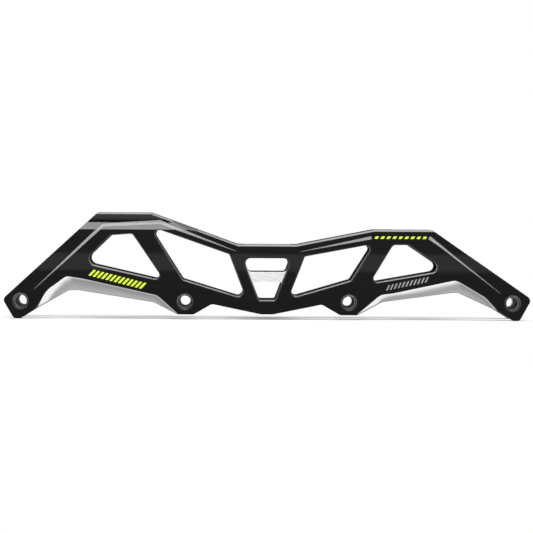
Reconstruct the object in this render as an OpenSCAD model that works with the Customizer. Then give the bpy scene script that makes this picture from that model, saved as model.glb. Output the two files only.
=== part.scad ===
// Four wheel inline skate frame: two milled rails on two mount blocks and a bridge.
// Lengths are millimetres. X runs to the toe, Y to the left, Z up from the floor.
// The rails are drawn with Z counted from the axle line, then lifted onto their feet.

/* [Wheels and axles] */
// Distance from one axle to the next
axle_pitch = 111.76; // [111:0.01:113]
// Largest wheel that the frame takes
wheel_d = 110; // [108:0.5:110]
// Space left between a wheel and the metal above it
wheel_clear = 1; // [0.8:0.1:1.5]
// Bore of the bush that an axle passes through
axle_bore_d = 8.2; // [8.1:0.05:8.4]
// Bore of the threaded insert that an axle screws into
axle_thread_d = 6.8; // [6.6:0.05:6.9]
// Outside diameter of a bush
bush_d = 11.8; // [11.2:0.1:12.4]
// Diameter of the seat for the axle head
head_seat_d = 10.4; // [9.8:0.1:10.8]
// Outside diameter of a threaded insert
insert_d = 11; // [10:0.1:12]

/* [Side view] */
// Height of the axle line above the floor
axle_z = 11.9; // [11.4:0.1:12.4]
// Height of the heel deck above the axle line
rear_deck_h = 60.6; // [60:0.1:62]
// Height of the toe deck above the axle line
front_deck_h = 49.7; // [49.1:0.1:50.5]
// Height of the rails' top edge at mid length, above the axle line
waist_h = 39.2; // [38.7:0.1:40.1]
// Length of the flat top edge at mid length
waist_l = 40; // [36:0.5:42]
// Distance between the two boot bolts
mount_spacing = 195; // [193:0.5:196]
// How far the middle of the boot bolts sits behind the middle of the axles
mount_back = 1.5; // [0.5:0.1:2.5]

/* [Cross section] */
// Width over the lower walls
base_w = 41; // [40:0.1:42.5]
// Width over the upper walls
upper_w = 36.5; // [36:0.1:37.5]
// Width over the neck under the heel deck
neck_w = 30; // [29.6:0.1:31]
// Width between the rails, where the wheels run
channel_w = 27.6; // [27.2:0.1:28]
// Width between the inner bosses, that the wheel hubs touch
hub_w = 24.6; // [24.2:0.1:25]
// Width between the flanges along the neck
flange_w = 21; // [20.4:0.1:21.6]

/* [Milling] */
// Chamfer round the windows
window_chamfer = 0.7; // [0.4:0.05:0.9]
// Chamfer along the top edge
top_chamfer = 1.2; // [0.8:0.05:1.4]
// Depth of the tapered stripes
stripe_depth = 0.35; // [0.2:0.05:0.5]
// Depth of the pocket in the middle window
pocket_depth = 2.6; // [2:0.1:3]
// Width left flat under the bevels along the arches
arch_land = 1.2; // [0.8:0.1:1.6]

/* [Boot bolts and screws] */
// Width of the slots for the boot bolts
slot_w = 8.4; // [8.2:0.1:8.8]
// Length of those slots, along the frame
slot_l = 12; // [10:0.5:13]
// Thickness of the deck that a boot bolt clamps
deck_t = 5; // [4.5:0.1:5.5]
// Diameter of the cap screws that hold the frame together
screw_d = 3; // [2.8:0.1:3.2]
// Added to a screw's diameter in the holes that it passes through freely
screw_play = 0.4; // [0.3:0.05:0.6]

/* [Hidden] */
$fn = 48;

axles = [for (i = [-1.5:1:1.5]) i * axle_pitch];
rear_mount = -mount_spacing / 2 - mount_back;
front_mount = mount_spacing / 2 - mount_back;
end_room = 20;
frame_l = 3 * axle_pitch + 2 * end_room;
wheel_r = wheel_d / 2 + wheel_clear;
past = 5;
// Steps in the arc of a corner, and in that of a softly eased one
arc_steps = 6;
soft_steps = 3;

// The outer face of the section: half width at each height above the axle line
flare_low = 21.5;
flare_high = 32.5;
flare_r = 16;
neck_h = 6.8;
neck_lean = 0.7;
shoulder_h = 4.8;
shoulder_high = rear_deck_h - neck_h;
shoulder_low = shoulder_high - shoulder_h;
// The flanges start a little above the foot of the shoulder
flange_rise = 1.2;
flange_low = shoulder_low + flange_rise;
wall_foot = [-2 * axle_z, base_w / 2];
flare_foot = [flare_low, base_w / 2, flare_r];
flare_top = [flare_high, upper_w / 2, flare_r];
shoulder_foot = [shoulder_low, upper_w / 2];
outer_face = concat([wall_foot], corner_arc(wall_foot, flare_foot, flare_top, soft_steps),
    corner_arc(flare_foot, flare_top, shoulder_foot, soft_steps),
    [shoulder_foot, [shoulder_high, neck_w / 2], [rear_deck_h, neck_w / 2 - neck_lean],
    [rear_deck_h + past, neck_w / 2 - neck_lean]]);
function face_y(z) = lookup(z, outer_face);

// Side outline of a rail, as corners [x, z, radius], from the rear foot along the top
deck_end = 16.6;
boss_d = 17;
boss_half = 6;
boss_short = 5.3;
boss_z = -8.6;
foot_z = -axle_z;
arch_rear_z = 7.4;
arch_front_z = 6.9;
waist_z = -8.3;
top_edge = [[rear_mount - deck_end, rear_deck_h, 1.5], [rear_mount + 19.4, rear_deck_h, 4],
    [-waist_l / 2, waist_h, 6], [waist_l / 2, waist_h, 6],
    [front_mount - 23, front_deck_h, 5], [front_mount + deck_end, front_deck_h, 1.5]];
rear_arch = [[axles[1] - boss_short, boss_z, 2], [axles[1] - 21.2, -0.6, 4],
    [axles[0] + 38.9, arch_rear_z, 4], [axles[0] + 32.8, arch_rear_z, 4],
    [axles[0] + 9.3, -6.1, 0]];
front_arch = [[axles[3] - 10, -5.3, 0], [axles[3] - 36.6, arch_front_z, 4],
    [axles[3] - 41.1, arch_front_z, 4], [axles[2] + 23.1, 0.3, 4],
    [axles[2] + boss_half, boss_z, 2]];
mid_arch = [[axles[2] - boss_half, boss_z, 3], [axles[2] - 18.4, -1.4, 4], [4.1, waist_z, 4],
    [-4.1, waist_z, 4], [axles[1] + 18.4, -1.4, 4], [axles[1] + boss_half, boss_z, 3]];
outline = concat([[axles[0] - 12.2, 1.3, 3.4]], top_edge, [[axles[3] + 12.9, 2.9, 3.4],
    [axles[3] + 4.7, foot_z, 3], [axles[3] + 0.4, foot_z, 3]], front_arch, mid_arch, rear_arch,
    [[axles[0], foot_z, 3], [axles[0] - 4.4, foot_z, 3]]);

// Windows, from the rear, clockwise from the top left corner
window_rear = [[rear_mount - 7.6, rear_deck_h - 15.6, 2.7], [rear_mount + 7, rear_deck_h - 14.5, 2],
    [axles[1] - 14, 14.1, 2.7], [axles[0] + 42.1, 26.6, 4.4]];
window_heel = [[rear_mount + 18.5, rear_deck_h - 9.2, 3], [-waist_l / 2 - 5.9, waist_h - 6.7, 1.5],
    [-14.2, 2.1, 3.4], [axles[1] - 1.5, 15.2, 3]];
window_mid = [[-16.5, waist_h - 9, 3.6], [16.5, waist_h - 9, 3.6], [5.7, 1.4, 2], [-5.7, 1.4, 2]];
window_ball = [[waist_l / 2 + 5.8, waist_h - 8, 1.5], [front_mount - 23.2, front_deck_h - 9.6, 2.7],
    [axles[2] + 1.4, 15.1, 3], [14.6, 2.5, 3.2]];
window_front = [[front_mount - 10, front_deck_h - 10.3, 3], [front_mount + 0.6, front_deck_h - 10.3, 2.7],
    [axles[3] - 45.8, 22.4, 3.7], [axles[2] + 14, 13.1, 2.7]];

// The tie strip across the middle window, between its two through openings
strip_low = 14.3;
strip_high = 20.3;
pocket_ledge = 0.3;
function mid_edge(z) = let (a = window_mid[1], b = window_mid[2])
    b[0] + (a[0] - b[0]) * (z - b[1]) / (a[1] - b[1]);
mid_upper = [window_mid[0], window_mid[1],
    [mid_edge(strip_high), strip_high, 2.7], [-mid_edge(strip_high), strip_high, 2.7]];
mid_lower = [[-mid_edge(strip_low), strip_low, 1.5], [mid_edge(strip_low), strip_low, 1.5],
    window_mid[2], window_mid[3]];

// Arch bevels, as [point on the outer face, point on the lower edge, radius]. At a bevel's end the
// second point lies square to the line from the first one to the next point
bevel_w = 5;
function unit(v) = v / norm(v);
function end_pair(at, next) = let (u = unit(next - at))
    [at, at + sign(u[0]) * bevel_w * [u[1], -u[0]], 0];
rear_bevel = [
    end_pair([axles[0] + 9.3, -6.1], [axles[0] + 18.2, 7.8]),
    [[axles[0] + 18.2, 7.8], [axles[0] + 20.6, 0.7], 20],
    [[axles[0] + 31, 17], [axles[0] + 32.8, arch_rear_z], 5],
    [[axles[0] + 34, 16.7], [axles[0] + 38.9, arch_rear_z], 5],
    [[axles[1] - 18.8, 4.3], [axles[1] - 21.2, -0.6], 8],
    end_pair([axles[1] - boss_short + 1, boss_z], [axles[1] - 18.8, 4.3])];
front_bevel = [
    end_pair([axles[2] + boss_half - 1, boss_z], [axles[2] + 21.4, 5.2]),
    [[axles[2] + 21.4, 5.2], [axles[2] + 23.1, 0.3], 8],
    [[axles[3] - 40, 15.4], [axles[3] - 41.1, arch_front_z], 4],
    [[axles[3] - 37.7, 14.9], [axles[3] - 36.6, arch_front_z], 4],
    [[axles[3] - 18.7, 4], [axles[3] - 20.6, -0.6], 12],
    end_pair([axles[3] - 10, -5.3], [axles[3] - 18.7, 4])];

// Stripes, as [x, z, width] along their middle line
stripe_rear = [[axles[0] + 9.4, 8.3, 0.3], [rear_mount - 13, 52, 2.4],
    [rear_mount + 25.8, 54.2, 2.7], [-waist_l / 2 - 1, 34.6, 0.3]];
stripe_ball = [[waist_l / 2 + 2.6, 34.5, 0.3], [front_mount - 24.9, 44.4, 2.1]];
stripe_front = [[front_mount + 14.4, 44.7, 2.5], [front_mount + 23.2, 38.2, 1.5],
    [axles[3] - 8.3, 6.7, 0.3]];

// Blocks as side views, each reaching back and forward from its boot bolt
rear_back = rear_mount - 18;
rear_fore = rear_mount + 19;
rear_block_h = 13.6;
rear_block_z = rear_deck_h - rear_block_h;
front_back = front_mount - 9;
front_knee = front_mount + 3;
front_fore = front_mount + 25;
front_block_h = 9.3;
front_drop = 14;
front_block_z = front_deck_h - front_block_h;
bridge_h = 8.5;
bridge_z = waist_h - bridge_h;
bolt_head_rim = 3.2;
bolt_head_d = slot_w + 2 * bolt_head_rim;
rear_block = [[rear_back, rear_block_z], [rear_back, rear_deck_h],
    [rear_fore, rear_deck_h], [rear_fore, rear_block_z]];
front_block = [[front_back, front_block_z], [front_back, front_deck_h], [front_fore, front_deck_h],
    [front_fore, front_block_z - front_drop], [front_knee, front_block_z]];
bridge = [[-waist_l / 2, bridge_z], [-waist_l / 2, waist_h],
    [waist_l / 2, waist_h], [waist_l / 2, bridge_z]];

// Screws through the blocks, as [x, z]
screw_head_rim = 1.25;
screw_head_d = screw_d + 2 * screw_head_rim;
screw_head_h = screw_d;
screw_bite = 3.2;
head_web = 1;
rear_screw_z = (shoulder_high + rear_deck_h) / 2;
rear_screw_back = 11.4;
rear_screw_fore = 12.8;
rear_screws = [[rear_mount - rear_screw_back, rear_screw_z], [rear_mount + rear_screw_fore, rear_screw_z]];
front_screw_fore = 11.6;
front_screw_drop = 9.8;
front_screw_dx = 5;
front_screw_dz = 4.1;
front_screws = [for (i = [0:1]) [front_mount + front_screw_fore + i * front_screw_dx,
    front_deck_h - front_screw_drop - i * front_screw_dz]];
bridge_screw_x = 6;
bridge_screw_drop = 4.2;
bridge_screws = [for (s = [-1, 1]) [s * bridge_screw_x, waist_h - bridge_screw_drop]];
all_screws = concat(rear_screws, front_screws, bridge_screws);
// Where a block's side ends at a screw, and where the screw's head seats in the left rail
function seat_y(s) = (s[1] > flange_low ? flange_w : channel_w) / 2;
function head_y(s) = seat_y(s) + head_web;

// Corner rounding: each corner becomes an arc
function flat(p) = [p[0], p[1]];
function corner_arc(a, b, c, steps = arc_steps) = let (
        u = unit(flat(a) - flat(b)), v = unit(flat(c) - flat(b)), half = acos(u * v) / 2, r = b[2],
        middle = flat(b) + unit(u + v) * r / sin(half),
        start = flat(b) + u * r / tan(half) - middle, stop = flat(b) + v * r / tan(half) - middle,
        from = atan2(start[1], start[0]), sweep = atan2(stop[1], stop[0]) - from,
        turn = sweep > 180 ? sweep - 360 : sweep < -180 ? sweep + 360 : sweep)
    r == 0 ? [flat(b)]
    : [for (k = [0:steps]) let (at = from + turn * k / steps) middle + r * [cos(at), sin(at)]];
function rounded(corners) = let (n = len(corners))
    [for (i = [0:n - 1]) each corner_arc(corners[(i + n - 1) % n], corners[i], corners[(i + 1) % n])];
// How far along an edge it meets the foot and the top of the flare, in the order of the edge
function level_steps(a, b) = let (rise = b[1] - a[1] + 0.001,
        cuts = [for (z = [flare_low, flare_high]) (z - a[1]) / rise])
    a[1] < b[1] ? cuts : [cuts[1], cuts[0]];
// Corners moved outward by an even distance
function grown(corners, by) = let (n = len(corners)) [for (i = [0:n - 1])
    let (b = corners[i], u = unit(flat(corners[(i + n - 1) % n]) - flat(b)),
        v = unit(flat(corners[(i + 1) % n]) - flat(b)), half = acos(u * v) / 2,
        at = flat(b) - unit(u + v) * by / sin(half))
    [at[0], at[1], b[2] + by]];

// A solid through rings of points, each ring counterclockwise seen from the last ring's end
module loft(rings) {
    n = len(rings[0]);
    last = (len(rings) - 1) * n;
    sides = [for (k = [0:len(rings) - 2], j = [0:n - 1]) let (a = k * n + j, b = k * n + (j + 1) % n)
        each [[a, b + n, b], [a, a + n, b + n]]];
    polyhedron([for (ring = rings) each ring],
        concat([[for (j = [0:n - 1]) j]], sides, [[for (j = [n - 1:-1:0]) last + j]]));
}

// A side view drawing made solid from y0 to y1
module across(y0, y1) {
    translate([0, y1, 0]) rotate([90, 0, 0]) linear_extrude(y1 - y0) children();
}

// A cylinder along Y from y0 to y1
module rod(x, z, d, y0, y1) {
    translate([x, y0, z]) rotate([-90, 0, 0]) cylinder(d = d, h = y1 - y0);
}

// Sets a piece drawn about the axle line on the floor
module on_feet() {
    translate([0, 0, axle_z]) children();
}

// The wall of the left rail, extruded along the frame, with its outer face moved in by inset
module wall(inset = 0) {
    face = [for (p = outer_face) [p[1] - inset, p[0]]];
    rotate([90, 0, 90]) linear_extrude(frame_l, center = true)
        polygon(concat([[channel_w / 2, -2 * axle_z]], face, [[channel_w / 2, rear_deck_h + past]]));
}

// The flange inside the neck, scooped out round the wheels
module flange() {
    root = 0.4;
    difference() {
        translate([-frame_l / 2, flange_w / 2, flange_low])
            cube([frame_l, (channel_w - flange_w) / 2 + root, rear_deck_h + past - flange_low]);
        for (x = axles) rod(x, 0, 2 * wheel_r, 0, base_w);
    }
}

// Cuts a window through the rail, with a chamfer that follows the outer face
module window_cut(corners, floor_y) {
    edge = rounded(corners);
    away = rounded(grown(corners, 1)) - edge;
    n = len(edge);
    // Each point is [at, outward], with one more wherever an edge meets the top or foot of the flare
    ring = [for (i = [0:n - 1]) let (j = (i + 1) % n)
        each concat([[edge[i], away[i]]], [for (t = level_steps(edge[i], edge[j])) if (t > 0.02 && t < 0.98)
            [edge[i] + (edge[j] - edge[i]) * t, away[i] + (away[j] - away[i]) * t]])];
    proud = 0.8;
    function outer(p, y) = let (q = p[0] + p[1] * (window_chamfer + proud)) [q[0], y, q[1]];
    loft([[for (p = ring) [p[0][0], floor_y, p[0][1]]],
        [for (p = ring) [p[0][0], face_y(p[0][1]) - window_chamfer, p[0][1]]],
        [for (p = ring) outer(p, face_y(p[0][1]) + proud)],
        [for (p = ring) outer(p, base_w / 2 + past)]]);
}

// Cuts the sloping bevel between the outer face and the lower edge of an arch, eased at its corners
module bevel_cut(pairs) {
    land_y = channel_w / 2 + arch_land;
    last = len(pairs) - 1;
    function bend(i, j) = corner_arc(pairs[i - 1][j], [each pairs[i][j], pairs[i][2]], pairs[i + 1][j],
        soft_steps);
    eased = concat([pairs[0]], [for (i = [1:last - 1]) let (tops = bend(i, 0), lows = bend(i, 1))
        each [for (k = [0:soft_steps]) [tops[k], lows[k]]]], [pairs[last]]);
    loft([for (pair = eased) let (top = [pair[0][0], base_w / 2, pair[0][1]],
            low = [pair[1][0], land_y, pair[1][1]], over = top + (top - low) * 0.2,
            under = low - (top - low) * 0.1)
        [under, [under[0], over[1], under[2]], over]]);
}

// Cuts the chamfer along the top edge, one section at each corner and where the shoulder starts and ends
module top_cut() {
    heel = flat(top_edge[1]);
    waist = flat(top_edge[2]);
    function on_slope(z) = heel + (waist - heel) * (heel[1] - z) / (heel[1] - waist[1]);
    way = concat([flat(top_edge[0]) - [past, 0], heel, on_slope(shoulder_high + top_chamfer),
        on_slope(shoulder_low), waist], [for (i = [3:4]) flat(top_edge[i])],
        [flat(top_edge[5]) + [past, 0]]);
    loft([for (p = way) let (y = face_y(p[1] - top_chamfer))
        [[p[0], y - 2 * top_chamfer, p[1] + top_chamfer], [p[0], y + top_chamfer, p[1] - 2 * top_chamfer],
            [p[0], y + 2 * top_chamfer, p[1] + top_chamfer]]]);
}

// Cuts a tapered stripe to an even depth under the outer face
module stripe_cut(way) {
    n = len(way);
    function side(i, s) = let (a = way[max(i - 1, 0)], b = way[i], c = way[min(i + 1, n - 1)],
            u = i > 0 ? unit(flat(b) - flat(a)) : unit(flat(c) - flat(b)),
            v = i < n - 1 ? unit(flat(c) - flat(b)) : u, m = unit(u + v))
        flat(b) + s * b[2] / 2 / (m * u) * [-m[1], m[0]];
    difference() {
        across(channel_w / 2 + 0.4, base_w / 2 + past)
            polygon(concat([for (i = [0:n - 1]) side(i, 1)], [for (i = [n - 1:-1:0]) side(i, -1)]));
        wall(stripe_depth);
    }
}

// The left rail before its holes are drilled. The right rail is its mirror.
module rail_blank() {
    difference() {
        intersection() {
            union() {
                wall();
                flange();
                for (x = axles) rod(x, 0, boss_d, hub_w / 2, channel_w / 2 + 1);
            }
            across(0, base_w) polygon(rounded(outline));
        }
        for (w = [window_rear, window_heel, window_ball, window_front]) window_cut(w, 0);
        window_cut(window_mid, base_w / 2 - pocket_depth);
        for (w = [mid_upper, mid_lower]) across(0, base_w) polygon(rounded(grown(w, -pocket_ledge)));
        bevel_cut(rear_bevel);
        bevel_cut(front_bevel);
        top_cut();
        for (s = [stripe_rear, stripe_ball, stripe_front]) stripe_cut(s);
    }
}

module right_rail() {
    color("#1d1e20") on_feet() mirror([0, 1, 0]) difference() {
        rail_blank();
        for (x = axles) rod(x, 0, bush_d, 0, base_w);
        for (s = all_screws) rod(s[0], s[1], screw_d, 0, seat_y(s) + screw_bite);
    }
}

module left_rail() {
    color("#1d1e20") on_feet() difference() {
        rail_blank();
        for (x = axles) rod(x, 0, insert_d, 0, base_w);
        for (s = all_screws) {
            rod(s[0], s[1], screw_d + screw_play, 0, base_w);
            rod(s[0], s[1], screw_head_d + screw_play, head_y(s), base_w);
        }
    }
}

// A slot along the frame for a boot bolt, with room for the bolt's head under the deck
module boot_slot(x, deck_h) {
    slot_prism(x, slot_w, slot_l, deck_h - deck_t - past, deck_h + past);
    slot_prism(x, bolt_head_d, slot_l - slot_w + bolt_head_d, 0, deck_h - deck_t);
}

module slot_prism(x, w, l, z0, z1) {
    travel = l - w;
    translate([x - travel / 2, -w / 2, z0]) cube([travel, w, z1 - z0]);
    for (s = [-0.5, 0.5]) translate([x + s * travel, 0, z0]) cylinder(d = w, h = z1 - z0);
}

// A block between the rails, cut to the side outline, the wheels and its screws
module block(side, screws) {
    difference() {
        intersection() {
            union() {
                across(-flange_w / 2, flange_w / 2) polygon(side);
                intersection() {
                    across(-channel_w / 2, channel_w / 2) polygon(side);
                    translate([-frame_l / 2, -base_w / 2, 0]) cube([frame_l, base_w, flange_low]);
                }
            }
            across(-base_w, base_w) polygon(rounded(outline));
        }
        for (x = axles) rod(x, 0, 2 * wheel_r, -base_w, base_w);
        for (s = screws) rod(s[0], s[1], screw_d + screw_play, -base_w, base_w);
    }
}

module rear_mount_block() {
    color("#26272a") on_feet() difference() {
        block(rear_block, rear_screws);
        boot_slot(rear_mount, rear_deck_h);
    }
}

module front_mount_block() {
    color("#26272a") on_feet() difference() {
        block(front_block, front_screws);
        boot_slot(front_mount, front_deck_h);
    }
}

module centre_bridge() {
    color("#26272a") on_feet() block(bridge, bridge_screws);
}

// A bush in the right rail: a sleeve with a seat for the axle head
module axle_bush(i) {
    mouth = base_w / 2 - 0.2;
    color("#2a2b2e") on_feet() mirror([0, 1, 0]) difference() {
        rod(axles[i - 1], 0, bush_d, hub_w / 2, mouth);
        rod(axles[i - 1], 0, axle_bore_d, 0, base_w);
        rod(axles[i - 1], 0, head_seat_d, mouth - 2.4, base_w);
    }
}

// A threaded insert in the left rail
module axle_insert(i) {
    color("#3c3d40") on_feet() difference() {
        rod(axles[i - 1], 0, insert_d, hub_w / 2, base_w / 2 - 0.3);
        rod(axles[i - 1], 0, axle_thread_d, 0, base_w);
    }
}

// A cap screw: its head in the left rail and its tip in the right rail
module cap_screw(s) {
    color("#6f7276") on_feet() difference() {
        union() {
            rod(s[0], s[1], screw_d, -seat_y(s) - screw_bite, head_y(s));
            rod(s[0], s[1], screw_head_d, head_y(s), head_y(s) + screw_head_h);
        }
        translate([s[0], head_y(s) + screw_head_h * 0.45, s[1]]) rotate([-90, 0, 0])
            cylinder(d = screw_d * 0.95, h = screw_head_h, $fn = 6);
    }
}

right_rail();
left_rail();
rear_mount_block();
front_mount_block();
centre_bridge();
axle_bush(1);  // axle_bush_1
axle_bush(2);  // axle_bush_2
axle_bush(3);  // axle_bush_3
axle_bush(4);  // axle_bush_4
axle_insert(1);  // axle_insert_1
axle_insert(2);  // axle_insert_2
axle_insert(3);  // axle_insert_3
axle_insert(4);  // axle_insert_4
cap_screw(rear_screws[0]);  // rear_screw_1
cap_screw(rear_screws[1]);  // rear_screw_2
cap_screw(front_screws[0]);  // front_screw_1
cap_screw(front_screws[1]);  // front_screw_2
cap_screw(bridge_screws[0]);  // bridge_screw_1
cap_screw(bridge_screws[1]);  // bridge_screw_2
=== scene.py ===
"""Dresses an inline skate frame: metal finishes, printed marks, floor, light and camera.

Lengths are metres. X runs to the toe, Y to the left rail, Z up from the floor.
"""
import math

import bpy
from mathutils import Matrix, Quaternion, Vector


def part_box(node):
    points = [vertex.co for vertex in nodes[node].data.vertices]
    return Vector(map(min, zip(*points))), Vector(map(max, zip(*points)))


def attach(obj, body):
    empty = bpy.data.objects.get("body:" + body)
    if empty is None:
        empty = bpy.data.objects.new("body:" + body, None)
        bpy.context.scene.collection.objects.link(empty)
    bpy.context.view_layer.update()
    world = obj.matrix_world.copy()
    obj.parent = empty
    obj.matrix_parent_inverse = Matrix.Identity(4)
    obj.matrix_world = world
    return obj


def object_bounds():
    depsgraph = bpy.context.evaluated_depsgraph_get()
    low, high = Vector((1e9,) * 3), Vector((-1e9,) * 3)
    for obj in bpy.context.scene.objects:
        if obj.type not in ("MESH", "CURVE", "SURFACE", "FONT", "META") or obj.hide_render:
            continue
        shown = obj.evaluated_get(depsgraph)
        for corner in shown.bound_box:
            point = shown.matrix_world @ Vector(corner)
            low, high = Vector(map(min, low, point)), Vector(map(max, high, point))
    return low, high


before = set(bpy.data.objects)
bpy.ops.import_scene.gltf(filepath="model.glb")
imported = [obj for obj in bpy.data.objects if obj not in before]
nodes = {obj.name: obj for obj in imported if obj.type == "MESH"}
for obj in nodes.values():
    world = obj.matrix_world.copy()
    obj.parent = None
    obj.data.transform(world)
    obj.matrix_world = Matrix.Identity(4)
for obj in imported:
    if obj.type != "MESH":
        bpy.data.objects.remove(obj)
cad_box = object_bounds()

MM = 0.001
RAILS = ("right_rail", "left_rail")
BLOCKS = ("rear_mount_block", "front_mount_block", "centre_bridge")

# The outer face of the rails: half the width over it at each height
FACE_HEIGHTS = (0.0, 33.4 * MM, 44.4 * MM, 60.9 * MM, 65.7 * MM, 72.5 * MM, 80.0 * MM)
FACE_HALF_WIDTHS = (20.5 * MM, 20.5 * MM, 18.25 * MM, 18.25 * MM, 15.0 * MM, 14.3 * MM, 14.3 * MM)


def face_half_width(height):
    """Half the width over the rails at a height."""
    for i in range(len(FACE_HEIGHTS) - 1):
        low, high = FACE_HEIGHTS[i], FACE_HEIGHTS[i + 1]
        if height <= high:
            share = max(0.0, (height - low) / (high - low))
            return FACE_HALF_WIDTHS[i] + (FACE_HALF_WIDTHS[i + 1] - FACE_HALF_WIDTHS[i]) * share
    return FACE_HALF_WIDTHS[-1]


# Building blocks of the materials

# The colour sockets of a Mix node
MIX_FACTOR = 0
MIX_FIRST = 6
MIX_SECOND = 7
MIX_RESULT = 2
# The parts of a noise's range over which a tone changes
NOISE_SPAN = (0.3, 0.7)
WIDE_SPAN = (0.25, 0.75)
NARROW_SPAN = (0.35, 0.65)
SHEEN_SPAN = (0.35, 0.8)
NOISE_DETAIL = 3.0
# How well the rounded normal agrees with the face's own, on an edge and clear of it
EDGE_SPAN = (0.80, 0.985)
EDGE_SAMPLES = 4


def new_material(name):
    """A node material and its parts: the node tree and the surface shader."""
    material = bpy.data.materials.new(name)
    material.use_nodes = True
    tree = material.node_tree
    return material, tree, tree.nodes["Principled BSDF"]


def object_place(tree):
    """The place on a surface, in the object's own space."""
    return tree.nodes.new("ShaderNodeTexCoord").outputs["Object"]


def mapped_place(tree, scale, shift=(0.0, 0.0, 0.0)):
    """The place on a surface, scaled along X, Y and Z and then shifted."""
    mapping = tree.nodes.new("ShaderNodeMapping")
    mapping.inputs["Scale"].default_value = scale
    mapping.inputs["Location"].default_value = shift
    tree.links.new(object_place(tree), mapping.inputs["Vector"])
    return mapping.outputs["Vector"]


def stretched_noise(tree, scale, detail=NOISE_DETAIL):
    """Noise in the object's own space, with its own scale along X, Y and Z."""
    noise = tree.nodes.new("ShaderNodeTexNoise")
    noise.inputs["Scale"].default_value = 1.0
    noise.inputs["Detail"].default_value = detail
    tree.links.new(mapped_place(tree, scale), noise.inputs["Vector"])
    return noise.outputs["Fac"]


def ramp(tree, value, stops):
    """A colour ramp over a value, from stops of (position, colour or grey)."""
    node = tree.nodes.new("ShaderNodeValToRGB")
    elements = node.color_ramp.elements
    while len(elements) < len(stops):
        elements.new(0.5)
    for element, (position, colour) in zip(elements, stops):
        element.position = position
        rgb = colour if isinstance(colour, tuple) else (colour,) * 3
        element.color = (*rgb, 1.0)
    tree.links.new(value, node.inputs["Fac"])
    return node.outputs["Color"]


def graded(tree, value, low, high, span=NOISE_SPAN):
    """A tone that goes from low to high over a span of a value."""
    return ramp(tree, value, [(span[0], low), (span[1], high)])


def mixed(tree, kind, first, second, factor=None):
    """Two colours mixed by a kind of blend, in full or by a factor."""
    mix = tree.nodes.new("ShaderNodeMix")
    mix.data_type = "RGBA"
    mix.blend_type = kind
    mix.inputs[MIX_FACTOR].default_value = 1.0
    if factor is not None:
        tree.links.new(factor, mix.inputs[MIX_FACTOR])
    tree.links.new(first, mix.inputs[MIX_FIRST])
    tree.links.new(second, mix.inputs[MIX_SECOND])
    return mix.outputs[MIX_RESULT]


def combined(tree, operation, first, second):
    """Two values put together by a math operation."""
    node = tree.nodes.new("ShaderNodeMath")
    node.operation = operation
    tree.links.new(first, node.inputs[0])
    tree.links.new(second, node.inputs[1])
    return node.outputs[0]


def split_vector(tree, vector):
    """A vector's X, Y and Z."""
    parts = tree.nodes.new("ShaderNodeSeparateXYZ")
    tree.links.new(vector, parts.inputs[0])
    return [parts.outputs[axis] for axis in "XYZ"]


def vector_length(tree, vector):
    """A vector's length."""
    node = tree.nodes.new("ShaderNodeVectorMath")
    node.operation = "LENGTH"
    tree.links.new(vector, node.inputs[0])
    return node.outputs["Value"]


def ranged(tree, value, source, target, shape="LINEAR"):
    """A value taken from one range to another, and kept inside it."""
    node = tree.nodes.new("ShaderNodeMapRange")
    node.interpolation_type = shape
    node.inputs["From Min"].default_value, node.inputs["From Max"].default_value = source
    node.inputs["To Min"].default_value, node.inputs["To Max"].default_value = target
    tree.links.new(value, node.inputs["Value"])
    return node.outputs["Result"]


def rounded_normal(tree, radius):
    """A shading normal that rounds every edge by a small radius."""
    node = tree.nodes.new("ShaderNodeBevel")
    node.samples = EDGE_SAMPLES
    node.inputs["Radius"].default_value = radius
    return node.outputs["Normal"]


def edge_mask(tree, soft_normal):
    """1 along the edges, where the rounded normal leaves the face's own normal."""
    geometry = tree.nodes.new("ShaderNodeNewGeometry")
    agreement = tree.nodes.new("ShaderNodeVectorMath")
    agreement.operation = "DOT_PRODUCT"
    tree.links.new(soft_normal, agreement.inputs[0])
    tree.links.new(geometry.outputs["Normal"], agreement.inputs[1])
    return graded(tree, agreement.outputs["Value"], 1.0, 0.0, EDGE_SPAN)


def bump(tree, height, relief, normal=None):
    """A bump from a height, with a relief of (strength, depth), over another normal if one is given."""
    node = tree.nodes.new("ShaderNodeBump")
    node.inputs["Strength"].default_value, node.inputs["Distance"].default_value = relief
    tree.links.new(height, node.inputs["Height"])
    if normal is not None:
        tree.links.new(normal, node.inputs["Normal"])
    return node.outputs["Normal"]


def brighter(colour, times):
    """A colour with every part multiplied."""
    return tuple(times * part for part in colour)


def surface(tree, shader, colour, roughness, normal):
    """Links a colour, a roughness and a normal to a surface shader."""
    tree.links.new(colour, shader.inputs["Base Color"])
    tree.links.new(roughness, shader.inputs["Roughness"])
    tree.links.new(normal, shader.inputs["Normal"])


# Dyed aluminium: noise scales along X, Y and Z in waves to a metre, and reliefs of (strength, depth)
DIE_LINES = (25.0, 1400.0, 1400.0)
DIE_LINE_RELIEF = (0.12, 0.02 * MM)
FINE_GRAIN = (7000.0, 7000.0, 7000.0)
GRAIN_DETAIL = 2.0
GRAIN_RELIEF = (0.25, 0.01 * MM)
SATIN = 0.32
SATIN_CHANGE = (-0.04, 0.05)
# Edges rubbed through to the metal, with a painted highlight along them: their share in the least and the
# most rubbed patches, and the bare metal's spread
EDGE_RADIUS = 0.3 * MM
WEAR_PATCHES = (90.0, 160.0, 160.0)
PATCH_WEAR = (0.15, 0.8)
BARE_SPREAD = 1.25
# A bush's seat, rubbed by the axle head and painted with a highlight: over the seat, less outside its edge,
# and a weaker painted highlight below the axle line
SEAT_EDGE = (5.1 * MM, 5.6 * MM)
OUTER_WEAR_AND_HIGHLIGHT = 0.03
HIGHLIGHT_HEIGHTS = (-1.0 * MM, 4.5 * MM)
LOWER_HIGHLIGHT = 0.25
# The share of a dye's tone that is left at the foot of a wall, as painted shade
FOOT_SHADE_TONE = 0.05


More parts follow.
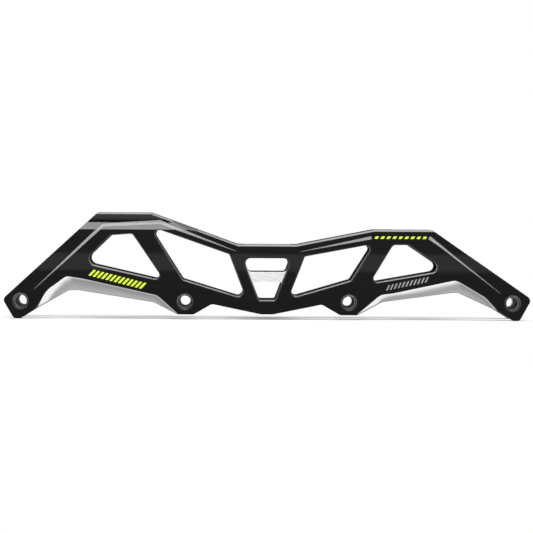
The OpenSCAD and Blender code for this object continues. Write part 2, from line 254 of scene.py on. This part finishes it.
def seat_wear_and_highlight(tree, centre):
    """Where a bush's seat is paler: inside the rim, and most above the axle line, where a highlight is
    painted.
    """
    local = mapped_place(tree, (1.0, 0.0, 1.0), (-centre.x, 0.0, -centre.z))
    inside = ranged(tree, vector_length(tree, local), SEAT_EDGE, (1.0, OUTER_WEAR_AND_HIGHLIGHT))
    # Painted highlight: the seat is paler above the axle line than below it
    height = split_vector(tree, local)[2]
    return combined(tree, "MULTIPLY", inside, ranged(tree, height, HIGHLIGHT_HEIGHTS, (LOWER_HIGHLIGHT, 1.0)))


def anodise(name, dye, wear_highlight, specular, rough=SATIN, edge=EDGE_RADIUS, axle=None, foot=None):
    """Dyed aluminium: faint die lines along X, a fine grain, and thin edges made paler by rubbing and by a
    painted highlight.

    The dye is a dark and a light colour. An axle is the point round which a bush's seat is rubbed, with a
    painted highlight that is strongest above it. A foot is two heights, between which the dye goes from
    near black to its own tone, as painted shade at the foot of a wall.
    """
    material, tree, shader = new_material(name)
    shader.inputs["Specular IOR Level"].default_value = specular
    die_lines = stretched_noise(tree, DIE_LINES)
    grain = stretched_noise(tree, FINE_GRAIN, GRAIN_DETAIL)
    soft = rounded_normal(tree, edge)
    if axle is None:
        patches = graded(tree, stretched_noise(tree, WEAR_PATCHES), *PATCH_WEAR, NARROW_SPAN)
    else:
        patches = seat_wear_and_highlight(tree, axle)
    # Paler edges: rubbed through where the patches say, and a painted highlight along every edge
    wear_and_highlight = combined(tree, "MULTIPLY", edge_mask(tree, soft), patches)
    body = graded(tree, die_lines, *dye)
    # Painted shade: the dye darkens towards the foot of the wall
    if foot is not None:
        height = split_vector(tree, object_place(tree))[2]
        body = mixed(tree, "MULTIPLY", body, ranged(tree, height, foot, (FOOT_SHADE_TONE, 1.0)))
    bare = graded(tree, grain, wear_highlight, brighter(wear_highlight, BARE_SPREAD))
    colour = mixed(tree, "MIX", body, bare, wear_and_highlight)
    roughness = graded(tree, die_lines, rough + SATIN_CHANGE[0], rough + SATIN_CHANGE[1], WIDE_SPAN)
    grained = bump(tree, grain, GRAIN_RELIEF, soft)
    surface(tree, shader, colour, roughness, bump(tree, die_lines, DIE_LINE_RELIEF, grained))
    return material


# Bare metal
TOOL_LINE_RELIEF = (0.3, 0.01 * MM)
SHEEN_CLOUD = (220.0, 220.0, 220.0)
SHEEN_LIFT = 1.06
METAL_EDGE_RADIUS = 0.2 * MM
METAL_ROUGH_CHANGE = 0.06


def bare_metal(name, dark, light, rough, lines):
    """Cut aluminium or steel: tool lines in one direction over a cloudy sheen."""
    material, tree, shader = new_material(name)
    shader.inputs["Metallic"].default_value = 1.0
    cuts = stretched_noise(tree, lines)
    cloud = stretched_noise(tree, SHEEN_CLOUD)
    plain = graded(tree, cuts, dark, light)
    sheen = graded(tree, cuts, light, brighter(light, SHEEN_LIFT), SHEEN_SPAN)
    roughness = graded(tree, cuts, rough - METAL_ROUGH_CHANGE, rough + METAL_ROUGH_CHANGE, WIDE_SPAN)
    normal = bump(tree, cuts, TOOL_LINE_RELIEF, rounded_normal(tree, METAL_EDGE_RADIUS))
    surface(tree, shader, mixed(tree, "MIX", plain, sheen, cloud), roughness, normal)
    return material


# The arch bevels: half the width over their upper and lower edges
BEVEL_EDGES = (20.5 * MM, 15.0 * MM)
# The lower edge of each arch, as points (x, z) in mm, and the line of painted shade along it
REAR_ARCH = ((-158.3, 5.8), (-134.8, 19.3), (-128.7, 19.3), (-77.1, 11.3), (-61.2, 3.3))
FRONT_ARCH = ((61.9, 3.3), (79.0, 12.2), (126.5, 18.8), (131.0, 18.8), (157.6, 6.6))
EDGE_SHADE_REACH = (0.5 * MM, 1.2 * MM)
EDGE_SHADE_TONE = 0.34
# Where the painted highlight at the foot of each arch's rising side fades, and where that side folds over
REAR_GLEAM = (-150.3 * MM, -136.6 * MM)
FRONT_GLEAM = (72.0 * MM, 88.0 * MM)
REAR_FOLD = -136.6 * MM
FRONT_FOLD = 127.0 * MM
FOLD_BLEND = 5.0 * MM
# The square of this is the share of the bevel's width by which the painted highlight is wider at the foot
GLEAM = 0.8
# Painted reflection: tones across a bevel from its upper edge down, on the rising side and on the falling
# side
RISING_REFLECTION = [(0.10, 1.0), (0.25, 0.75), (0.38, 0.52), (0.50, 0.45), (0.70, 0.41), (0.86, 0.50)]
FALLING_REFLECTION = [(0.0, 0.60), (0.08, 0.58), (0.17, 0.33), (0.50, 0.39), (0.88, 0.50)]
# The cutter's marks
CUTTER_MARKS = (260.0, 4200.0, 4200.0)
CUTTER_RELIEF = (0.3, 0.02 * MM)
CUTTER_TONES = (0.86, 1.0)
CUTTER_ROUGH = (0.36, 0.46)
BEVEL_EDGE_RADIUS = 0.35 * MM


def shade_over_edge(tree, place, start, end):
    """Painted shade: dark along the edge between two points (x, z) in mm, and 1 well above it."""
    start = Vector(start) * MM
    along = (Vector(end) * MM - start).normalized()
    upward = (-along.y, 0.0, along.x)
    foot = upward[0] * start.x + upward[2] * start.y
    height = tree.nodes.new("ShaderNodeVectorMath")
    height.operation = "DOT_PRODUCT"
    height.inputs[1].default_value = upward
    tree.links.new(place, height.inputs[0])
    reach = [foot + distance for distance in EDGE_SHADE_REACH]
    return ranged(tree, height.outputs["Value"], reach, (EDGE_SHADE_TONE, 1.0))


def painted_edge_shade(tree, place, arch):
    """A line of painted shade along the lower edge of an arch."""
    tone = shade_over_edge(tree, place, arch[0], arch[1])
    for start, end in zip(arch[1:], arch[2:]):
        tone = combined(tree, "MAXIMUM", tone, shade_over_edge(tree, place, start, end))
    return tone


def milled(name, arch, gleam_reach, fold):
    """A milled bevel with a painted reflection: white as a painted highlight along the upper edge of its
    rising side, and over all of that side's foot.
    """
    material, tree, shader = new_material(name)
    shader.inputs["Metallic"].default_value = 1.0
    place = object_place(tree)
    along, sideways, _ = split_vector(tree, place)
    half_width = tree.nodes.new("ShaderNodeMath")
    half_width.operation = "ABSOLUTE"
    tree.links.new(sideways, half_width.inputs[0])
    across = ranged(tree, half_width.outputs[0], BEVEL_EDGES, (0.0, 1.0))
    gleam = ranged(tree, along, gleam_reach, (GLEAM, 0.0))
    rising_across = combined(tree, "SUBTRACT", across, combined(tree, "MULTIPLY", gleam, gleam))
    past_fold = ranged(tree, along, (fold, fold + FOLD_BLEND), (0.0, 1.0))
    # Painted reflection: the bevel's tone is set by its side and the height across it
    rising = ramp(tree, rising_across, RISING_REFLECTION)
    falling = ramp(tree, across, FALLING_REFLECTION)
    tone = mixed(tree, "MIX", rising, falling, past_fold)
    # Painted shade along the bevel's lower edge
    tone = mixed(tree, "DARKEN", tone, painted_edge_shade(tree, place, arch))
    cuts = stretched_noise(tree, CUTTER_MARKS)
    colour = mixed(tree, "MULTIPLY", tone, graded(tree, cuts, *CUTTER_TONES))
    roughness = graded(tree, cuts, *CUTTER_ROUGH, WIDE_SPAN)
    normal = bump(tree, cuts, CUTTER_RELIEF, rounded_normal(tree, BEVEL_EDGE_RADIUS))
    surface(tree, shader, colour, roughness, normal)
    return material


# Printed ink
INK_FILM = (900.0, 900.0, 900.0)
INK_RELIEF = (0.2, 0.02 * MM)
INK_ROUGH = (0.42, 0.55)


def ink(name, dark, light, specular=0.5):
    """Printed ink: a slightly uneven film with a satin surface."""
    material, tree, shader = new_material(name)
    shader.inputs["Specular IOR Level"].default_value = specular
    film = stretched_noise(tree, INK_FILM)
    colour = graded(tree, film, dark, light)
    surface(tree, shader, colour, graded(tree, film, *INK_ROUGH), bump(tree, film, INK_RELIEF))
    return material


# The finishes: each dye is a dark and a light colour
WALL_DYE = ((0.0016, 0.0016, 0.0018), (0.0034, 0.0034, 0.0037))
EDGE_DYE = ((0.008, 0.008, 0.009), (0.012, 0.012, 0.013))
# The neck's dye is far paler than the wall's: a painted sheen
NECK_PAINTED_SHEEN = ((0.0225, 0.0225, 0.0225), (0.0285, 0.0285, 0.0285))
BLOCK_DYE = ((0.006, 0.006, 0.007), (0.010, 0.010, 0.011))
BUSH_DYE = ((0.004, 0.004, 0.0045), (0.007, 0.007, 0.0075))
# Paler colours of the edges, rubbed through to the metal and painted as a highlight
WALL_WEAR_HIGHLIGHT = (0.05, 0.05, 0.053)
EDGE_WEAR_HIGHLIGHT = (0.12, 0.12, 0.125)
BLOCK_WEAR_HIGHLIGHT = (0.08, 0.08, 0.085)
BUSH_WEAR_HIGHLIGHT = (0.80, 0.80, 0.82)
BUSH_EDGE_RADIUS = 0.7 * MM
# The heights over which the neck under the heel deck goes from painted shade to its own tone
NECK_SHADE_HEIGHTS = (67.1 * MM, 68.4 * MM)
# Tool lines of the bare metals
STRIP_LINES = (150.0, 2500.0, 2500.0)
INSERT_LINES = (3000.0, 6000.0, 3000.0)
SCREW_LINES = (2500.0, 2500.0, 2500.0)

wall_black = anodise("wall_black", WALL_DYE, WALL_WEAR_HIGHLIGHT, specular=0.08)
edge_black = anodise("edge_black", EDGE_DYE, EDGE_WEAR_HIGHLIGHT, specular=0.95)
shoulder_black = anodise("shoulder_black", EDGE_DYE, EDGE_WEAR_HIGHLIGHT, specular=0.66)
fold_black = anodise("fold_black", EDGE_DYE, EDGE_WEAR_HIGHLIGHT, specular=0.34)
neck_sheen_black = anodise("neck_sheen_black", NECK_PAINTED_SHEEN, EDGE_WEAR_HIGHLIGHT, specular=0.02, foot=NECK_SHADE_HEIGHTS)
block_black = anodise("block_black", BLOCK_DYE, BLOCK_WEAR_HIGHLIGHT, specular=0.5, rough=0.40)
rear_milled = milled("rear_milled", REAR_ARCH, REAR_GLEAM, REAR_FOLD)
front_milled = milled("front_milled", FRONT_ARCH, FRONT_GLEAM, FRONT_FOLD)
strip_bright = bare_metal("strip_bright", (0.50, 0.502, 0.505), (0.60, 0.60, 0.602), 0.30, STRIP_LINES)
# The inserts' near-black is painted shade inside the bores, darker than the steel's own colour
insert_steel = bare_metal("insert_steel", (0.035, 0.035, 0.037), (0.055, 0.055, 0.058), 0.34, INSERT_LINES)
screw_zinc = bare_metal("screw_zinc", (0.24, 0.245, 0.255), (0.34, 0.345, 0.355), 0.34, SCREW_LINES)
lime_ink = ink("lime_ink", (0.53, 0.74, 0.01), (0.62, 0.83, 0.02))
grey_ink = ink("grey_ink", (0.20, 0.20, 0.205), (0.27, 0.27, 0.275))
stripe_silver = ink("stripe_silver", (0.28, 0.28, 0.284), (0.34, 0.34, 0.345), specular=0.25)


def bush_black(name):
    """The finish of one bush, rubbed and painted with a highlight round its own axle line."""
    low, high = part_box(name)
    centre = (Vector(low) + Vector(high)) / 2
    return anodise(name + "_black", BUSH_DYE, BUSH_WEAR_HIGHLIGHT, specular=0.22, rough=0.30,
                   edge=BUSH_EDGE_RADIUS, axle=centre)


# The faces of a rail, told apart by their slope, their place and their depth under the outer face
RAIL_FINISHES = (wall_black, edge_black, shoulder_black, fold_black, neck_sheen_black, rear_milled,
                 front_milled, stripe_silver, strip_bright)
FLAT_SLOPE = 0.99
CUT_SLOPE = (0.30, 0.965)
CHAMFER_SLOPE = (0.69, 0.711)
TOP_SLOPE = 0.3
# An arch bevel is low, and deeper than a chamfer or of another slope
BEVEL_TOP = 30.0 * MM
BEVEL_DEPTH = 1.0 * MM
# The floor of a stripe's shallow groove
STRIPE_DEPTH = (0.2 * MM, 0.5 * MM)
STRIPE_SLOPE = 0.8
# The floor of the pocket in the middle window, and the tie strip across it
POCKET_DEPTH = (2.4 * MM, 2.8 * MM)
POCKET_REACH = 14.0 * MM
STRIP_HEIGHTS = (25.0 * MM, 33.0 * MM)
# The shoulder, with the neck above it
SHOULDER_SLOPE = (0.80, 0.86)
SHOULDER_FOOT = 60.0 * MM
SHOULDER_TOP = 65.7 * MM
# The chamfer where the shoulder runs out behind the waist leans to the toe by this much
FOLD_LEAN = (0.08, 0.17)
FOLD_FOOT = 59.0 * MM
# Upward faces low between the outer windows are sills, as black as the walls
SILL_REACH = 127.0 * MM
SILL_TOP = 39.0 * MM


def between(value, span):
    """Whether a value lies inside a span."""
    return span[0] < value < span[1]


def deepest(mesh, face):
    """How far a face reaches under the outer face."""
    points = [mesh.vertices[i].co for i in face.vertices]
    return max(face_half_width(p.z) - abs(p.y) for p in points)


def cut_finish(mesh, face, outward):
    """The finish of a sloping cut: an arch bevel, the shoulder, the fold at its end or a chamfer."""
    place = face.center
    low = face.normal.z < 0 and place.z < BEVEL_TOP
    if low and (deepest(mesh, face) > BEVEL_DEPTH or not between(outward, CHAMFER_SLOPE)):
        return rear_milled if place.x < 0 else front_milled
    if between(face.normal.x, FOLD_LEAN) and place.z > FOLD_FOOT and place.x < 0:
        return fold_black
    if between(outward, SHOULDER_SLOPE) and place.z > SHOULDER_FOOT:
        return shoulder_black
    return edge_black


def rail_finish(mesh, face):
    """The finish of one face of a rail."""
    place = face.center
    outward = face.normal.y * math.copysign(1.0, place.y)
    depth = face_half_width(place.z) - abs(place.y)
    if outward > STRIPE_SLOPE and between(depth, STRIPE_DEPTH):
        return stripe_silver
    if outward > FLAT_SLOPE and between(depth, POCKET_DEPTH) and abs(place.x) < POCKET_REACH:
        return strip_bright if between(place.z, STRIP_HEIGHTS) else wall_black
    if between(outward, CUT_SLOPE):
        return cut_finish(mesh, face, outward)
    # The neck above the shoulder takes the paler black, a painted sheen
    if outward > CUT_SLOPE[1] and place.z > SHOULDER_TOP:
        return neck_sheen_black
    sill = abs(place.x) < SILL_REACH and place.z < SILL_TOP
    return edge_black if face.normal.z > TOP_SLOPE and not sill else wall_black


def set_materials(mesh, materials):
    """Puts materials in a mesh's slots."""
    mesh.materials.clear()
    for material in materials:
        mesh.materials.append(material)


def dress_rail(name):
    """Black walls with bare cuts, face by face."""
    mesh = nodes[name].data
    set_materials(mesh, RAIL_FINISHES)
    for face in mesh.polygons:
        face.material_index = RAIL_FINISHES.index(rail_finish(mesh, face))


for rail in RAILS:
    dress_rail(rail)
for block in BLOCKS:
    set_materials(nodes[block].data, [block_black])
for node_name, node_object in nodes.items():
    if node_name.startswith("axle_bush"):
        set_materials(node_object.data, [bush_black(node_name)])
    elif node_name.startswith("axle_insert"):
        set_materials(node_object.data, [insert_steel])
    elif "_screw_" in node_name:
        set_materials(node_object.data, [screw_zinc])

# Printed marks: plain slanted bars on the flat parts of both rails
INK_THICKNESS = 0.04 * MM
INK_SINK = 0.01 * MM


def bar_prism(corners, side, face_y):
    """Points and faces of one flat bar, from its side view corners, on a wall facing side * Y."""
    count = len(corners)
    depths = (face_y - INK_SINK, face_y + INK_THICKNESS)
    points = [(x, side * y, z) for y in depths for x, z in corners]
    low = list(range(count))
    high = list(range(count, 2 * count))
    faces = [low, high[::-1]]
    for i in range(count):
        j = (i + 1) % count
        faces.append([low[i], high[i], high[j], low[j]])
    if side < 0:
        faces = [face[::-1] for face in faces]
    return points, faces


def printed_bars(name, bars, side, material):
    """One piece made of flat bars, each a list of (x, z) corners, printed on a rail."""
    points = []
    faces = []
    for corners in bars:
        middle_z = sum(z for x, z in corners) / len(corners)
        bar_points, bar_faces = bar_prism(corners, side, face_half_width(middle_z))
        faces += [[i + len(points) for i in face] for face in bar_faces]
        points += bar_points
    mesh = bpy.data.meshes.new(name)
    mesh.from_pydata(points, [], faces)
    mesh.validate()
    mesh.update()
    mesh.materials.append(material)
    piece = bpy.data.objects.new(name, mesh)
    bpy.context.scene.collection.objects.link(piece)
    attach(piece, "root")


def slanted_bars(start, angle, height, lean, width, gap, count):
    """A row of slanted bars from a start point, along a line at an angle to X."""
    along = Vector((math.cos(angle), math.sin(angle)))
    up = Vector((-along.y, along.x))
    bars = []
    for i in range(count):
        foot = Vector(start) + along * i * (width + gap)
        head = foot + up * height + along * lean
        bars.append([tuple(p) for p in (foot, foot + along * width, head + along * width, head)])
    return bars


HEEL_BARS = slanted_bars((-121.6 * MM, 29.6 * MM), math.radians(-14.0), height=4.6 * MM, lean=2.6 * MM,
                         width=1.7 * MM, gap=1.25 * MM, count=13)
DECK_BARS = slanted_bars((73.0 * MM, 55.5 * MM), 0.0, height=1.7 * MM, lean=1.0 * MM,
                         width=2.2 * MM, gap=1.9 * MM, count=9)
TOE_BARS = slanted_bars((81.0 * MM, 20.2 * MM), math.radians(12.0), height=3.4 * MM, lean=2.4 * MM,
                        width=1.2 * MM, gap=1.5 * MM, count=11)
for side_name, side_sign in (("right", -1.0), ("left", 1.0)):
    printed_bars(side_name + "_heel_mark", HEEL_BARS, side_sign, lime_ink)
    printed_bars(side_name + "_deck_mark", DECK_BARS, side_sign, lime_ink)
    printed_bars(side_name + "_toe_mark", TOE_BARS, side_sign, grey_ink)

# Floor and world: white to the camera and in reflections, at a plain level as light
WHITE = (1.0, 1.0, 1.0, 1.0)
FLOOR_PAINT = (0.86, 0.86, 0.86, 1.0)
FLOOR_HALF = 30.0
FLOOR_CORNERS = ((-1, -1), (1, -1), (1, 1), (-1, 1))
# How much of the floor's own shade shows near the object, and where that fades out round its long form
FLOOR_SHADE = 0.85
SHADE_REACH = (0.07, 0.115)
SHADE_STRETCH = (0.45, 1.0, 1.0)
WORLD_LIGHT = 0.25


def ray_kinds(tree):
    """1 for rays from the camera, and 1 for rays from a glossy surface or a clear one."""
    path = tree.nodes.new("ShaderNodeLightPath")
    mirrored = combined(tree, "MAXIMUM", path.outputs["Is Glossy Ray"], path.outputs["Is Transmission Ray"])
    return path.outputs["Is Camera Ray"], mirrored


def show_mix(tree, output_kind, factor, first, second):
    """Sends two shaders, mixed by a factor, to a tree's output."""
    mix = tree.nodes.new("ShaderNodeMixShader")
    output = tree.nodes.new(output_kind)
    tree.links.new(factor, mix.inputs[0])
    tree.links.new(first.outputs[0], mix.inputs[1])
    tree.links.new(second.outputs[0], mix.inputs[2])
    tree.links.new(mix.outputs[0], output.inputs["Surface"])


def make_floor():
    """A pale floor that keeps a soft shadow."""
    mesh = bpy.data.meshes.new("floor")
    corners = [(x * FLOOR_HALF, y * FLOOR_HALF, 0.0) for x, y in FLOOR_CORNERS]
    mesh.from_pydata(corners, [], [(0, 1, 2, 3)])
    floor = bpy.data.objects.new("floor", mesh)
    bpy.context.scene.collection.objects.link(floor)
    material = bpy.data.materials.new("floor_white")
    material.use_nodes = True
    tree = material.node_tree
    tree.nodes.clear()
    paint = tree.nodes.new("ShaderNodeBsdfDiffuse")
    paint.inputs["Color"].default_value = FLOOR_PAINT
    glow = tree.nodes.new("ShaderNodeEmission")
    glow.inputs["Color"].default_value = WHITE
    glow.inputs["Strength"].default_value = 1.0
    distance = vector_length(tree, mapped_place(tree, SHADE_STRETCH))
    fade = ranged(tree, distance, SHADE_REACH, (1.0 - FLOOR_SHADE, 1.0), "SMOOTHSTEP")
    camera, mirrored = ray_kinds(tree)
    seen = combined(tree, "MULTIPLY", camera, fade)
    show_mix(tree, "ShaderNodeOutputMaterial", combined(tree, "MAXIMUM", seen, mirrored), paint, glow)
    mesh.materials.append(material)


def make_world():
    """A white surround, dimmer as light than as a backdrop."""
    world = bpy.data.worlds.new("studio")
    bpy.context.scene.world = world
    world.use_nodes = True
    tree = world.node_tree
    tree.nodes.clear()
    light = tree.nodes.new("ShaderNodeBackground")
    light.inputs["Color"].default_value = WHITE
    light.inputs["Strength"].default_value = WORLD_LIGHT
    backdrop = tree.nodes.new("ShaderNodeBackground")
    backdrop.inputs["Color"].default_value = WHITE
    backdrop.inputs["Strength"].default_value = 1.0
    seen = combined(tree, "MAXIMUM", *ray_kinds(tree))
    show_mix(tree, "ShaderNodeOutputWorld", seen, light, backdrop)


def place_facing(name, data, place, aim):
    """Adds a lamp or a camera at a place, facing a point."""
    new_object = bpy.data.objects.new(name, data)
    bpy.context.scene.collection.objects.link(new_object)
    new_object.location = place
    new_object.rotation_mode = "QUATERNION"
    new_object.rotation_quaternion = (Vector(aim) - Vector(place)).to_track_quat("-Z", "Y")
    return new_object


def softbox(name, place, width, height, radiance):
    """A rectangular lamp that faces the middle of the object, set by its radiance."""
    lamp = bpy.data.lights.new(name, "AREA")
    lamp.shape = "RECTANGLE"
    lamp.size = width
    lamp.size_y = height
    lamp.energy = radiance * math.pi * width * height
    middle = (cad_box[0] + cad_box[1]) / 2
    place_facing(name, lamp, place, middle).visible_camera = False


make_floor()
make_world()
softbox("top_softbox", (0.0, -0.30, 1.32), width=1.2, height=0.95, radiance=5.5)
softbox("front_softbox", (0.0, -1.55, 0.58), width=1.6, height=0.56, radiance=4.7)
softbox("back_softbox", (0.0, 1.0, 1.0), width=1.6, height=0.16, radiance=5.0)

# Camera: almost square on to the right rail, a little behind the middle and a little above
CAMERA_PLACE = (-28.0 * MM, -1.92, 84.4 * MM)
CAMERA_AIM = (-0.44 * MM, -20.5 * MM, 36.27 * MM)
CAMERA_ROLL = math.radians(0.349)
CAMERA_LENS = 188.6
CAMERA_SENSOR = 36.0
CAMERA_CLIP = (0.05, 200.0)


def make_camera():
    """The camera at the photograph's viewing angle."""
    lens = bpy.data.cameras.new("camera")
    lens.lens = CAMERA_LENS
    lens.sensor_width = CAMERA_SENSOR
    lens.clip_start, lens.clip_end = CAMERA_CLIP
    camera = place_facing("camera", lens, CAMERA_PLACE, CAMERA_AIM)
    camera.rotation_quaternion = camera.rotation_quaternion @ Quaternion((0.0, 0.0, 1.0), CAMERA_ROLL)
    bpy.context.scene.camera = camera


make_camera()
bpy.context.scene.view_settings.view_transform = "Standard"
